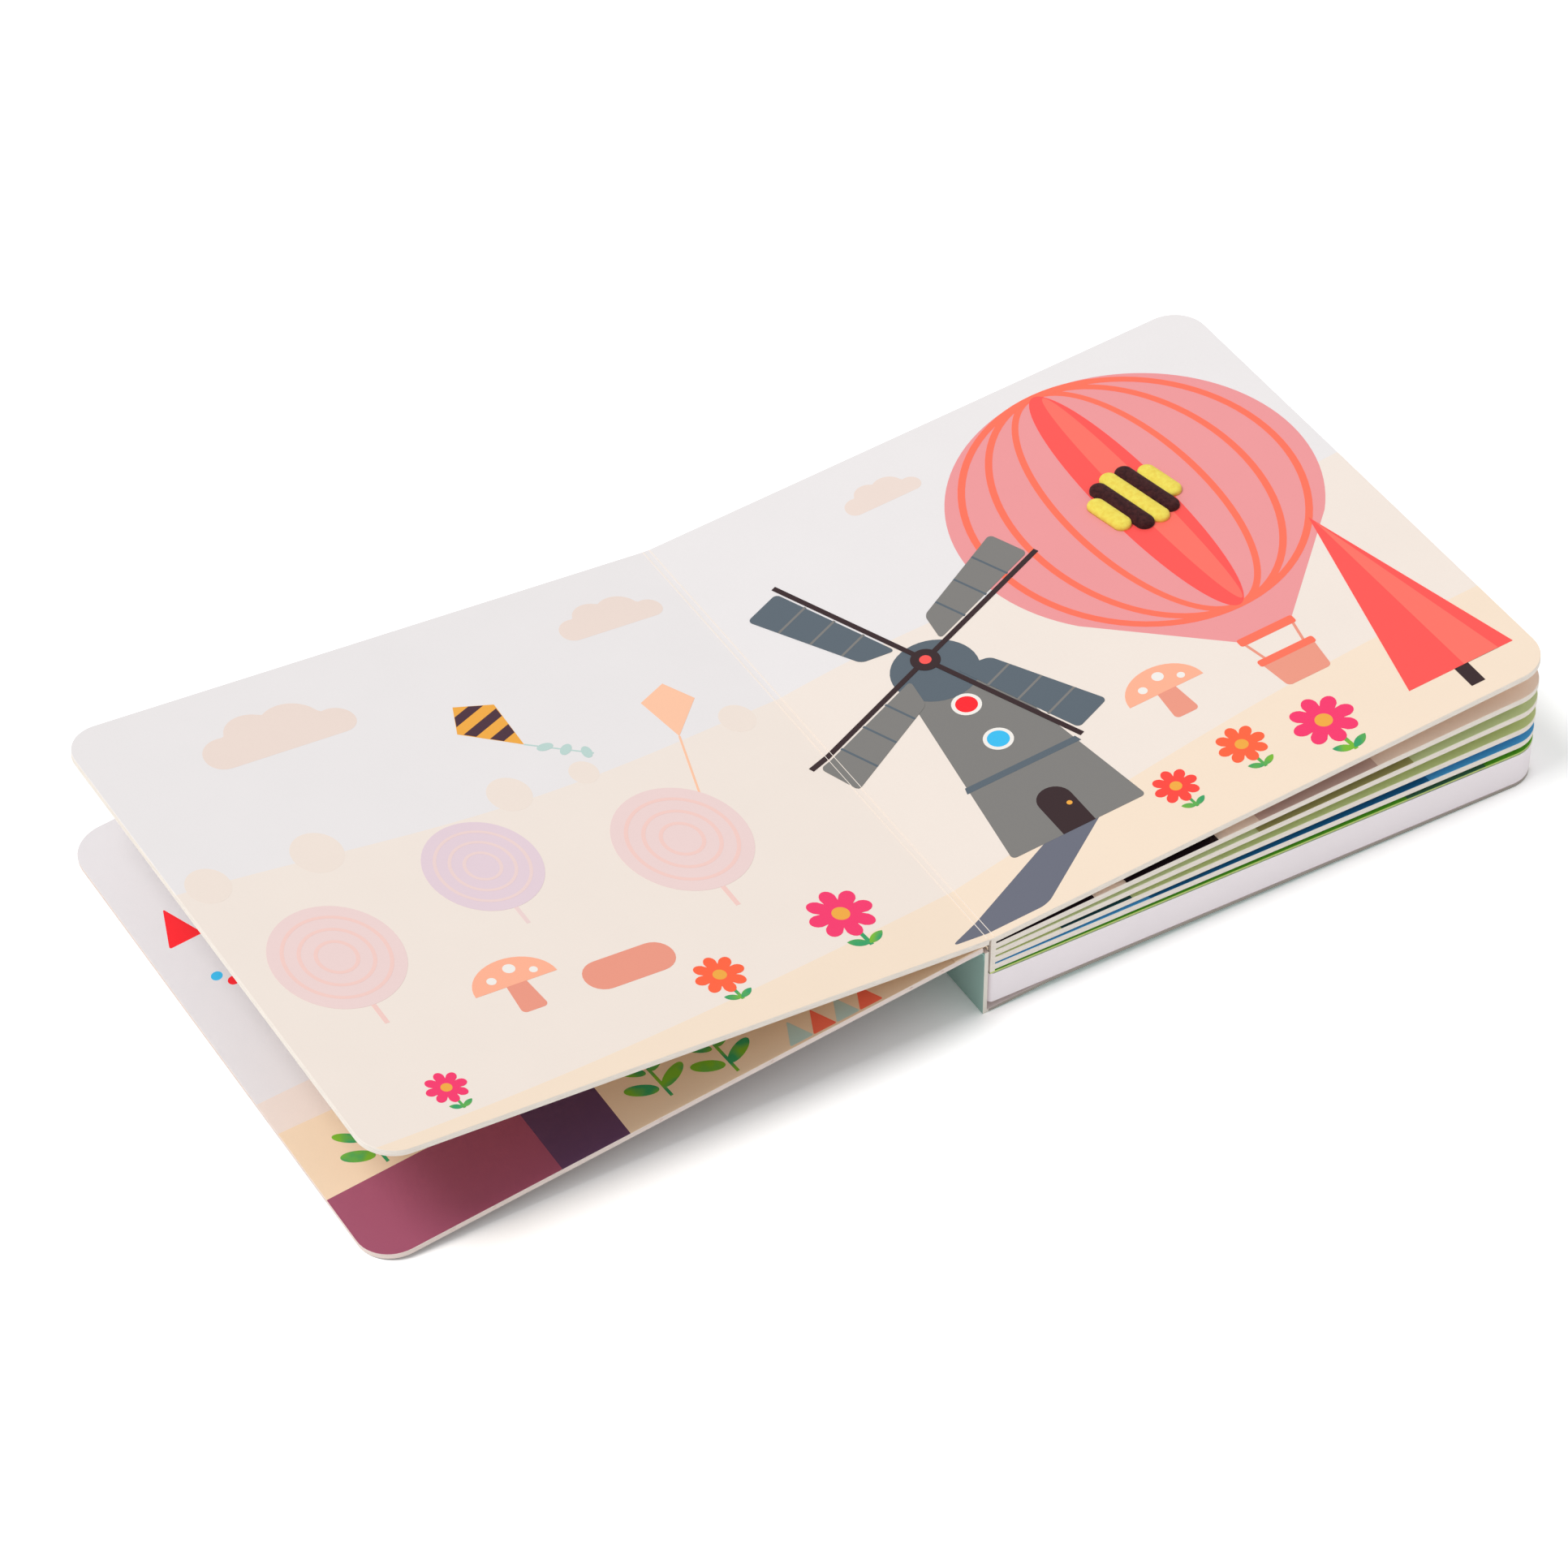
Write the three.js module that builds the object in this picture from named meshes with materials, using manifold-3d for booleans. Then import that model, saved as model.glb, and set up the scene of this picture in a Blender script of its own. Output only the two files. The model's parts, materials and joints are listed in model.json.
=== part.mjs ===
// A tactile sound book lying open: thick board leaves, a touch pad and a sound block.
// Millimetres, +Z up. The origin is under the middle of the open book, on the surface it lies on.
import * as THREE from "three";
import { mergeVertices } from "three/addons/utils/BufferGeometryUtils.js";
import Module from "manifold-3d";

const wasm = await Module();
wasm.setup();

// Pages
const pageWidth = 180;
const pageDepth = 180;
const cornerRadius = 10.5;
const leafThickness = 1.95;
const leafGap = 0.5;
const leafStart = 0.6;
const fanSteps = [0.42, 0.87, 1.13, 1.13, 1.95];
const turnedLeafRise = 3.6;
const boundEdge = 1.5;
const gutterSheet = 0.5;
const baseSheet = 0.6;

// Covers
const frontThickness = 1.8;
const frontWidth = 180;
const spineThickness = 1.2;
const spineGap = 0.5;
const coverLeafGap = 0.35;
const backThickness = 1.0;
const backCrease = 20;

// White block under the leaves
const blockTilt = 0.6;
const blockHeight = 10.2;
const blockSpineRadius = 1.5;

// Clearances
const seat = 0.3;
const running = 0.4;

// Touch pad on the top leaf
const padRadius = 12.2;
const padHeight = 1.6;
const padBevel = 0.7;
const padEdge = 57.1;
const padBack = 119.2;

// Sound module, placed in the block from its outer edge and its front; it is as large as its contents need
const moduleEdge = 14;
const moduleFront = 44;
const moduleRadius = 4;
const caseHeight = 7.7;
const caseWall = 1.4;
const caseFloor = 1.2;
const lidThickness = 1.0;

// Press buttons
const buttonStem = 3.7;
const buttonFlange = 5;
const flangeHeight = 0.8;
const buttonTravel = 0.7;

// Circuit board, with the chip's place measured from its front left corner
const boardMargin = 6;
const boardBackMargin = 7;
const boardDepth = 49;
const boardThickness = 1.0;
const boardInset = 4;
const postRadius = 2;
const chipRadius = 4.5;
const chipHeight = 1.1;
const chipPlace = [44, 12];

// Speaker, with free space to its left, right and back
const speakerRadius = 13.5;
const speakerFront = 22;
const speakerLeftSpace = 6;
const speakerRightSpace = 10.9;
const speakerBackSpace = 6.9;
const speakerRim = 1.2;
const speakerWall = 0.6;
const speakerDepth = 2.7;
const magnetRadius = 7;
const magnetHeight = 2;
const coneThickness = 0.4;
const ringWall = 1.2;
const ringHeight = 2.2;
const grilleRadius = 1.2;
const grilleRing = 5;
const grilleHoles = 6;

// Button cells and their compartment
const cellRadius = 5.8;
const cellHeight = 5.4;
const cellCount = 3;
const cellSpace = 0.5;
const wellLeft = 6;
const wellFront = 8;
const wellWall = 1.6;
const ledge = 1.5;
const doorThickness = 0.9;
const doorEar = 7;
const stripThickness = 0.2;
const stripWidth = 5;

// Battery screw
const screwRadius = 0.8;
const screwHead = 1.8;
const screwHeadHeight = 0.6;
const screwLength = 5;

// Power switch, measured from the circuit board's front left corner
const switchPlace = [18, 6];
const switchWidth = 9;
const switchDepth = 4;
const switchHeight = 2.4;
const knobWidth = 2.6;
const knobDepth = 2.2;
const knobTravel = 3;
const knobReach = 0.9;

// Speaker wires
const wireRadius = 0.5;

const degree = Math.PI / 180;
const arcSteps = 10;
const roundSteps = 32;

function material(color, roughness, metalness = 0) {
  return new THREE.MeshStandardMaterial({ color, roughness, metalness });
}

const finishes = {
  page: material(0xf2dfcf, 0.45),
  frontCover: material(0xe6e2e4, 0.45),
  backCover: material(0xa0c6bb, 0.5),
  foam: material(0xe4dedf, 0.6),
  pad: material(0xf4d94f, 0.95),
  casing: material(0xececea, 0.5),
  board: material(0x2f7d4f, 0.5),
  chip: material(0x18181a, 0.4),
  rubber: material(0xd8d8d6, 0.8),
  cone: material(0x25262a, 0.7),
  steel: material(0xb9bcc0, 0.3, 1),
  knob: material(0x2b2c30, 0.5),
  redWire: material(0xc22f2f, 0.5),
  blackWire: material(0x222326, 0.5),
};

// A closed geometry as a solid that can be joined and cut.
function solidOf(geometry) {
  const plain = geometry.clone();
  plain.deleteAttribute("normal");
  plain.deleteAttribute("uv");
  const merged = mergeVertices(plain, 1e-4);
  return new wasm.Manifold(
    new wasm.Mesh({
      numProp: 3,
      vertProperties: merged.attributes.position.array,
      triVerts: new Uint32Array(merged.index.array),
    }),
  );
}

function geometryOf(solid) {
  const mesh = solid.getMesh();
  const geometry = new THREE.BufferGeometry();
  geometry.setAttribute("position", new THREE.BufferAttribute(mesh.vertProperties, 3));
  geometry.setIndex(new THREE.BufferAttribute(mesh.triVerts, 1));
  geometry.computeVertexNormals();
  return geometry;
}

function joined(geometries) {
  return geometries.map(solidOf).reduce((whole, piece) => whole.add(piece));
}

function cut(solid, geometries) {
  return geometries.map(solidOf).reduce((whole, piece) => whole.subtract(piece), solid);
}

function piece(name, geometry, finish) {
  const mesh = new THREE.Mesh(geometry, finish);
  mesh.name = name;
  return mesh;
}

// A box from its lowest and highest corners.
function boxOf([x0, y0, z0], [x1, y1, z1]) {
  const box = new THREE.BoxGeometry(x1 - x0, y1 - y0, z1 - z0);
  return box.translate((x0 + x1) / 2, (y0 + y1) / 2, (z0 + z1) / 2);
}

// An upright cylinder from its lowest height to its highest.
function cylinderOf(radius, [x, y], z0, z1) {
  const cylinder = new THREE.CylinderGeometry(radius, radius, z1 - z0, roundSteps);
  return cylinder.rotateX(Math.PI / 2).translate(x, y, (z0 + z1) / 2);
}

// A rectangle from x0,y0 to x1,y1 with one radius on its left corners and another on its right ones.
function roundedOutline(x0, y0, x1, y1, leftRadius, rightRadius) {
  const outline = new THREE.Shape();
  const corners = [
    [x1, y0, -1, 1, rightRadius, -Math.PI / 2],
    [x1, y1, -1, -1, rightRadius, 0],
    [x0, y1, 1, -1, leftRadius, Math.PI / 2],
    [x0, y0, 1, 1, leftRadius, Math.PI],
  ];
  outline.moveTo(x0 + leftRadius, y0);
  for (const [x, y, inX, inY, radius, start] of corners) {
    if (radius > 0) {
      outline.absarc(x + inX * radius, y + inY * radius, radius, start, start + Math.PI / 2);
    } else {
      outline.lineTo(x, y);
    }
  }
  return outline;
}

function plate(outline, z0, z1) {
  const options = { depth: z1 - z0, bevelEnabled: false, curveSegments: arcSteps };
  return new THREE.ExtrudeGeometry(outline, options).translate(0, 0, z0);
}

// A board right of the spine: square corners at x0, round ones at its outer edge.
function boardToRight(x0, width, thickness) {
  return plate(roundedOutline(x0, 0, width, pageDepth, 0, cornerRadius), 0, thickness);
}

// The same board left of the spine
function boardToLeft(x0, width, thickness) {
  return plate(roundedOutline(-width, 0, -x0, pageDepth, cornerRadius, 0), 0, thickness);
}

// The battery compartment, the speaker and the circuit board set the module's width and depth.
const wellInner = cellCount * (2 * cellRadius + cellSpace) + cellSpace;
const wellDepth = 2 * (cellRadius + cellSpace);
const ringRadius = speakerRadius + running + ringWall;
const speakerPlace = [
  wellLeft + wellInner + ledge + doorEar + wellWall + speakerLeftSpace + ringRadius,
  speakerFront,
];
const boardFront = speakerFront + ringRadius + speakerBackSpace;
const moduleWidth = speakerPlace[0] + ringRadius + speakerRightSpace;
const moduleDepth = boardFront + boardDepth + boardBackMargin;
const moduleLeft = pageWidth - moduleWidth - moduleEdge;
const boardWidth = moduleWidth - 2 * boardMargin;
const boardX = moduleLeft + boardMargin;
const boardY = moduleFront + boardFront;
const padAcross = pageWidth - padEdge;

// Press buttons, measured from the circuit board's front left corner; the first lies under the touch pad
const buttonPlaces = [
  [padAcross - boardX, padBack - boardY],
  [14, 18],
  [30, 40],
  [boardWidth - 16, 14],
  [boardWidth - 12, 40],
];

// Heights in the block's own frame, whose origin is the block's lowest front corner at the spine
const sheetTop = blockHeight + seat + baseSheet;
const leafPitch = leafThickness + leafGap;
const leafAngles = fanSteps.map((step, i) => fanSteps.slice(0, i + 1).reduce((a, b) => a + b));
const leafBottoms = leafAngles.map((angle, i) => sheetTop + leafGap + i * leafPitch);
const topAngle = leafAngles.at(-1) * degree;
const topBottom = leafBottoms.at(-1);
const gutterTop = topBottom + leafThickness;

// Where the block's frame stands: it slopes down to the right, where the back cover meets the table.
const tilt = blockTilt * degree;
const blockLift = pageWidth * Math.sin(tilt) + (seat + backThickness) * Math.cos(tilt);

// The leaves, the turned leaf and the sheet on the block are bound into one solid at the fold.
function pageBlock() {
  const pieces = [
    boxOf([0, 0, blockHeight + seat], [boundEdge, pageDepth, gutterTop]),
    boardToRight(0, pageWidth, baseSheet).translate(0, 0, blockHeight + seat),
    boxOf([-leafStart - boundEdge, 0, gutterTop - gutterSheet], [boundEdge, pageDepth, gutterTop]),
  ];
  leafAngles.forEach((angle, i) => {
    const leaf = boardToRight(0, pageWidth - leafStart, leafThickness);
    pieces.push(leaf.rotateY(-angle * degree).translate(leafStart, 0, leafBottoms[i]));
  });
  const turned = boardToLeft(leafStart, pageWidth, leafThickness).translate(0, 0, -leafThickness);
  pieces.push(turned.rotateY(turnedLeafRise * degree).translate(0, 0, gutterTop));
  return piece("page_block", geometryOf(joined(pieces)), finishes.page);
}

// The touch pad is a low dome that lies on the top leaf.
function tactilePad() {
  const outline = new THREE.Shape();
  outline.absarc(0, 0, padRadius - padBevel, 0, Math.PI * 2);
  const dome = new THREE.ExtrudeGeometry(outline, {
    depth: padHeight - 2 * padBevel,
    bevelThickness: padBevel,
    bevelSize: padBevel,
    bevelSegments: 3,
    curveSegments: roundSteps / 2,
  });
  dome.translate(padAcross, padBack, padBevel + leafThickness + seat);
  dome.rotateY(-topAngle).translate(0, 0, topBottom);
  return piece("tactile_pad", dome, finishes.pad);
}

// Places of the module's pieces, in the block's frame
function inModule([x, y]) {
  return [moduleLeft + x, moduleFront + y];
}

function onBoard([x, y]) {
  return [boardX + x, boardY + y];
}

const lidBottom = caseHeight + seat;
const pocketTop = lidBottom + lidThickness + seat;
const moduleRight = moduleLeft + moduleWidth;
const moduleBack = moduleFront + moduleDepth;

function soundBlock() {
  const outline = roundedOutline(0, 0, pageWidth, pageDepth, blockSpineRadius, cornerRadius);
  const pocket = roundedOutline(
    moduleLeft - running,
    moduleFront - running,
    moduleRight + running,
    moduleBack + running,
    moduleRadius,
    moduleRadius,
  );
  const holes = buttonPlaces.map((place) =>
    cylinderOf(buttonStem + running, onBoard(place), pocketTop - 1, blockHeight + 1),
  );
  const block = cut(solidOf(plate(outline, 0, blockHeight)), [plate(pocket, -1, pocketTop), ...holes]);
  return piece("foam_block", geometryOf(block), finishes.foam);
}

// The battery compartment's place
const wellX = moduleLeft + wellLeft;
const wellY = moduleFront + wellFront;
const cellBottom = doorThickness + 2 * seat + stripThickness;
const doorEnd = wellX + wellInner + ledge + doorEar;
const screwPlace = [doorEnd - doorEar / 2, wellY + wellDepth / 2];

function grillePlaces() {
  const places = [inModule(speakerPlace)];
  for (let i = 0; i < grilleHoles; i++) {
    const turn = (i / grilleHoles) * Math.PI * 2;
    const x = speakerPlace[0] + grilleRing * Math.cos(turn);
    const y = speakerPlace[1] + grilleRing * Math.sin(turn);
    places.push(inModule([x, y]));
  }
  return places;
}

const knobStart = [
  boardX + switchPlace[0] - knobTravel / 2 - knobWidth / 2,
  boardY + switchPlace[1] - knobDepth / 2,
];

function knobSlot(z0, z1, margin) {
  const [x, y] = knobStart;
  return boxOf(
    [x - margin, y - margin, z0],
    [x + knobWidth + knobTravel + margin, y + knobDepth + margin, z1],
  );
}

// The board lies one button's travel below the flanges that press on it.
const flangeTop = lidBottom - seat;
const flangeBottom = flangeTop - flangeHeight;
const boardTop = flangeBottom - buttonTravel - seat;
const boardBottom = boardTop - boardThickness;

function postPlaces() {
  const places = [];
  for (const x of [boardX + boardInset, boardX + boardWidth - boardInset])
    for (const y of [boardY + boardInset, boardY + boardDepth - boardInset / 2])
      places.push([x, y]);
  return places;
}

// The case holds the cells, the speaker and the circuit board, and opens upwards.
function moduleCase() {
  const outer = roundedOutline(
    moduleLeft,
    moduleFront,
    moduleRight,
    moduleBack,
    moduleRadius,
    moduleRadius,
  );
  const inner = roundedOutline(
    moduleLeft + caseWall,
    moduleFront + caseWall,
    moduleRight - caseWall,
    moduleBack - caseWall,
    moduleRadius - caseWall,
    moduleRadius - caseWall,
  );
  const tray = cut(solidOf(plate(outer, 0, caseHeight)), [plate(inner, caseFloor, caseHeight + 1)]);
  const well = boxOf(
    [wellX - ledge - wellWall, wellY - ledge - wellWall, 0],
    [doorEnd + wellWall, wellY + wellDepth + ledge + wellWall, caseHeight],
  );
  const ring = cylinderOf(ringRadius, inModule(speakerPlace), 0, caseFloor + ringHeight);
  const posts = postPlaces().map((place) => cylinderOf(postRadius, place, 0, boardBottom - seat));
  const body = tray.add(joined([well, ring, ...posts]));
  const recess = doorThickness + seat;
  const cuts = [
    boxOf(
      [wellX - ledge, wellY - ledge, -1],
      [doorEnd, wellY + wellDepth + ledge, recess],
    ),
    boxOf([wellX, wellY, recess - 1], [wellX + wellInner, wellY + wellDepth, caseHeight + 1]),
    cylinderOf(screwRadius + seat, screwPlace, 0, screwLength + seat),
    cylinderOf(speakerRadius + running, inModule(speakerPlace), caseFloor, caseHeight),
    ...grillePlaces().map((place) => cylinderOf(grilleRadius, place, -1, caseFloor + 1)),
    knobSlot(-1, caseFloor + 1, seat),
  ];
  return piece("module_case", geometryOf(cut(body, cuts)), finishes.casing);
}

function moduleLid() {
  const outline = roundedOutline(
    moduleLeft,
    moduleFront,
    moduleRight,
    moduleBack,
    moduleRadius,
    moduleRadius,
  );
  const holes = buttonPlaces.map((place) =>
    cylinderOf(buttonStem + running, onBoard(place), lidBottom - 1, lidBottom + lidThickness + 1),
  );
  const lid = cut(solidOf(plate(outline, lidBottom, lidBottom + lidThickness)), holes);
  return piece("module_lid", geometryOf(lid), finishes.casing);
}

function circuitBoard() {
  const board = boxOf(
    [boardX, boardY, boardBottom],
    [boardX + boardWidth, boardY + boardDepth, boardTop],
  );
  const chip = cylinderOf(chipRadius, onBoard(chipPlace), boardTop + seat, boardTop + seat + chipHeight);
  return [piece("circuit_board", board, finishes.board), piece("sound_chip", chip, finishes.chip)];
}

// Each press button is a stem with a flange that the lid holds down.
function pressButton(place, number) {
  const [x, y] = onBoard(place);
  const stemTop = blockHeight - seat / 2;
  const profile = [
    [0, flangeBottom],
    [buttonFlange, flangeBottom],
    [buttonFlange, flangeTop],
    [buttonStem, flangeTop],
    [buttonStem, stemTop - seat],
    [buttonStem - seat, stemTop],
    [0, stemTop],
  ];
  const lathe = new THREE.LatheGeometry(
    profile.map(([radius, z]) => new THREE.Vector2(radius, z)),
    roundSteps,
  );
  lathe.rotateX(Math.PI / 2).translate(x, y, 0);
  return piece("press_button_" + number, lathe, finishes.rubber);
}

// The speaker faces down to the grille: a frame, its paper cone and the magnet on its back.
function speaker() {
  const [x, y] = inModule(speakerPlace);
  const rimBottom = caseFloor + seat;
  const rimTop = rimBottom + speakerRim;
  const backTop = rimTop + speakerDepth;
  const frameProfile = [
    [magnetRadius - 2, backTop - speakerWall],
    [magnetRadius, backTop - speakerWall],
    [speakerRadius - 2, rimTop - speakerWall],
    [speakerRadius - 2, rimBottom],
    [speakerRadius, rimBottom],
    [speakerRadius, rimTop],
    [speakerRadius - 1.4, rimTop],
    [magnetRadius + 0.6, backTop],
    [magnetRadius - 2, backTop],
    [magnetRadius - 2, backTop - speakerWall],
  ];
  const coneRadius = speakerRadius - 2 - seat;
  const coneTop = backTop - speakerWall - seat - coneThickness;
  const coneProfile = [
    [0, coneTop - coneThickness],
    [magnetRadius - 3, coneTop - coneThickness],
    [coneRadius, rimBottom],
    [coneRadius, rimBottom + coneThickness],
    [magnetRadius - 3, coneTop],
    [0, coneTop],
  ];
  const turned = (profile) =>
    new THREE.LatheGeometry(
      profile.map(([radius, z]) => new THREE.Vector2(radius, z)),
      roundSteps,
    )
      .rotateX(Math.PI / 2)
      .translate(x, y, 0);
  const magnet = cylinderOf(magnetRadius, [x, y], backTop + seat, backTop + seat + magnetHeight);
  return [
    piece("speaker_frame", turned(frameProfile), finishes.steel),
    piece("speaker_cone", turned(coneProfile), finishes.cone),
    piece("speaker_magnet", magnet, finishes.steel),
  ];
}

function cellPlace(index) {
  const pitch = 2 * cellRadius + cellSpace;
  return [wellX + cellSpace + cellRadius + index * pitch, wellY + wellDepth / 2];
}

// A contact strip spans from one cell's middle to another's.
function contactStrip(name, first, last, bottom) {
  const [x0, y] = cellPlace(first);
  const [x1] = cellPlace(last);
  const strip = boxOf(
    [x0 - stripWidth / 2, y - stripWidth / 2, bottom],
    [x1 + stripWidth / 2, y + stripWidth / 2, bottom + stripThickness],
  );
  return piece(name, strip, finishes.steel);
}

function batteries() {
  const pieces = [];
  for (let i = 0; i < cellCount; i++) {
    const cell = cylinderOf(cellRadius, cellPlace(i), cellBottom, cellBottom + cellHeight);
    pieces.push(piece("button_cell_" + (i + 1), cell, finishes.steel));
  }
  const last = cellCount - 1;
  const under = doorThickness + seat;
  const over = cellBottom + cellHeight + seat;
  pieces.push(contactStrip("contact_strip_lower", 0, last - 1, under));
  pieces.push(contactStrip("contact_tab_lower", last, last, under));
  pieces.push(contactStrip("contact_strip_upper", 1, last, over));
  pieces.push(contactStrip("contact_tab_upper", 0, 0, over));
  const door = cut(
    solidOf(
      boxOf(
        [wellX - ledge + seat, wellY - ledge + seat, 0],
        [doorEnd - seat, wellY + wellDepth + ledge - seat, doorThickness],
      ),
    ),
    [cylinderOf(screwRadius + seat, screwPlace, -1, doorThickness + 1)],
  );
  pieces.push(piece("battery_door", geometryOf(door), finishes.casing));
  const screw = joined([
    cylinderOf(screwHead, screwPlace, -seat - screwHeadHeight, -seat),
    cylinderOf(screwRadius, screwPlace, -seat - screwHeadHeight / 2, screwLength),
  ]);
  pieces.push(piece("battery_screw", geometryOf(screw), finishes.steel));
  return pieces;
}

// The switch hangs under the circuit board, and its knob comes out through the case's floor.
function powerSwitch() {
  const [x, y] = onBoard(switchPlace);
  const top = boardBottom - seat;
  const body = boxOf(
    [x - switchWidth / 2, y - switchDepth / 2, top - switchHeight],
    [x + switchWidth / 2, y + switchDepth / 2, top],
  );
  const [kx, ky] = knobStart;
  const knob = boxOf(
    [kx, ky, -knobReach],
    [kx + knobWidth, ky + knobDepth, top - switchHeight - seat],
  );
  return [piece("switch_body", body, finishes.chip), piece("power_switch", knob, finishes.knob)];
}

// Two wires run from the speaker's back to the circuit board.
function speakerWires() {
  const [x, y] = inModule(speakerPlace);
  const level = boardTop + seat + wireRadius;
  const section = new THREE.Shape();
  section.absarc(0, 0, wireRadius, 0, Math.PI * 2);
  const finishOf = { red: finishes.redWire, black: finishes.blackWire };
  return Object.entries(finishOf).map(([color, finish], i) => {
    const across = x + (i ? 2.5 : -2.5);
    const start = new THREE.Vector3(across, y + magnetRadius + 1, level);
    const middle = new THREE.Vector3(across - 1.5, (y + boardY) / 2 + 4, level);
    const end = new THREE.Vector3(across, boardY + 3, level);
    const path = new THREE.CatmullRomCurve3([start, middle, end]);
    const wire = new THREE.ExtrudeGeometry(section, {
      extrudePath: path,
      steps: 10,
      bevelEnabled: false,
      curveSegments: 4,
    });
    return piece("speaker_wire_" + color, wire, finish);
  });
}

// What is fixed to the block stands in the block's sloping frame.
const stack = new THREE.Group();
stack.rotation.y = tilt;
stack.position.z = blockLift;
stack.add(
  pageBlock(),
  tactilePad(),
  soundBlock(),
  moduleCase(),
  moduleLid(),
  ...circuitBoard(),
  ...buttonPlaces.map((place, i) => pressButton(place, i + 1)),
  ...speaker(),
  ...batteries(),
  ...powerSwitch(),
  ...speakerWires(),
);

// Where a point of the block's frame lies on the table's frame, seen from the front
function onTable(x, z) {
  return [
    x * Math.cos(tilt) + z * Math.sin(tilt),
    z * Math.cos(tilt) - x * Math.sin(tilt) + blockLift,
  ];
}

const [, gutterLevel] = onTable(0, gutterTop);
const spineTop = gutterLevel - leafThickness - coverLeafGap - frontThickness - seat;

// The spine and the back cover are one creased card: up the spine, out to the crease, along the block.
function backCover() {
  const lower = -seat - backThickness;
  const tuck = backThickness / 3;
  const profile = new THREE.Shape(
    [
      [-spineGap - spineThickness, 0],
      onTable(backCrease, lower),
      onTable(backCrease + tuck, lower + tuck),
      onTable(backCrease + tuck, -seat - tuck),
      onTable(backCrease, -seat),
      [-spineGap, backThickness],
      [-spineGap, spineTop],
      [-spineGap - spineThickness, spineTop],
    ].map(([x, z]) => new THREE.Vector2(x, z)),
  );
  const spine = new THREE.ExtrudeGeometry(profile, { depth: pageDepth, bevelEnabled: false });
  spine.rotateX(Math.PI / 2).translate(0, pageDepth, 0);
  const outline = roundedOutline(backCrease, 0, pageWidth, pageDepth, 0, cornerRadius);
  const panel = plate(outline, lower, -seat);
  const windows = [
    boxOf(
      [wellX - ledge - seat, wellY - ledge - seat, lower - 1],
      [doorEnd + seat, wellY + wellDepth + ledge + seat, 0],
    ),
    knobSlot(lower - 1, 0, 1),
    ...grillePlaces().map((place) => cylinderOf(grilleRadius, place, lower - 1, 0)),
  ];
  const slope = (geometry) => geometry.rotateY(tilt).translate(0, 0, blockLift);
  const whole = cut(joined([spine, slope(panel)]), windows.map(slope));
  return piece("back_cover", geometryOf(whole), finishes.backCover);
}

// The front cover hangs at the top of the spine, and its outer edge lies on the table.
const hingeLevel = spineTop + seat;
const coverFall = Math.asin(hingeLevel / frontWidth);
const coverHinge = new THREE.Group();
coverHinge.position.set(-spineGap - spineThickness - seat, 0, hingeLevel);
coverHinge.rotation.y = -coverFall;
coverHinge.add(piece("front_cover", boardToLeft(0, frontWidth, frontThickness), finishes.frontCover));

const book = new THREE.Group();
book.add(stack, backCover(), coverHinge);

// The origin goes under the middle of the open book.
const extent = new THREE.Box3().setFromObject(book, true);
const middle = extent.getCenter(new THREE.Vector3());
book.position.set(-middle.x, -middle.y, -extent.min.z);

const part = new THREE.Group();
part.add(book);

export default part;
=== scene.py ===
import json
from math import asin, cos, degrees, pi, radians, sin, sqrt

import bmesh
import bpy
from mathutils import Matrix, Vector


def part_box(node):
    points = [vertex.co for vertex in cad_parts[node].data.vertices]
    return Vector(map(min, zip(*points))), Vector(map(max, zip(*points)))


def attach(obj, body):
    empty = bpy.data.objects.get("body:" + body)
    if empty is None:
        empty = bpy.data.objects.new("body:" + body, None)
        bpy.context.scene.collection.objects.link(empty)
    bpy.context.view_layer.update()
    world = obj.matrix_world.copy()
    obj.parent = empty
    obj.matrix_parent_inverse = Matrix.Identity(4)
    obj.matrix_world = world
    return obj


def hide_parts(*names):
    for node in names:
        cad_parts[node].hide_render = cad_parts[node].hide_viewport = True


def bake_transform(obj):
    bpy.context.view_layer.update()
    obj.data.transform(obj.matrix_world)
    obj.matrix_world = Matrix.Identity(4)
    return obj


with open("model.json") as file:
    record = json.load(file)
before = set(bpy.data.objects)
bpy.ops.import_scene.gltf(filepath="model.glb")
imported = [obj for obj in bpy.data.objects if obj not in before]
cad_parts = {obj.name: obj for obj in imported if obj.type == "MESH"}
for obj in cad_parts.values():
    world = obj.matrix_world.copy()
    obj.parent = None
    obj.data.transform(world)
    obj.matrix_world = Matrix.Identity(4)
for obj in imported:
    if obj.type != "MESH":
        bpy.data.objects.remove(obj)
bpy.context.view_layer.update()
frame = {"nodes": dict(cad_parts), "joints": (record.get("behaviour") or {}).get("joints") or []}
print("frame loaded")

# The book is drawn in millimetres and laid in the frame in metres.
mm = 0.001

book = {
    "width": 180,            # a page, from the fold to its outer edge
    "depth": 180,
    "corner": 10.5,
    "leaf": 1.95,            # thickness of one leaf
    "leafGap": 0.5,
    "leafStart": 0.6,        # from the fold to where a leaf begins
    "fan": [0.42, 0.87, 1.13, 1.13, 1.95],   # degrees that each leaf opens over the one below
    "turnedRise": 3.6,       # degrees that the turned leaf rises from the fold
    "blockHeight": 10.2,
    "tilt": 0.6,             # degrees that the block leans down to its outer edge
    "sheet": 0.6,            # printed sheet glued on the block
    "seat": 0.3,             # glue line under that sheet
    "bound": 1.5,            # depth of the glued edge at the fold
    "boundShort": 0.05,      # how far it stops short of the pages' front and back edges
    "foldSheet": 0.5,        # thickness of the printed strip over it
}


def turnedY(angle):
    return Matrix.Rotation(radians(angle), 4, "Y")


def movedBy(x, y, z):
    return Matrix.Translation((x, y, z))


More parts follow.
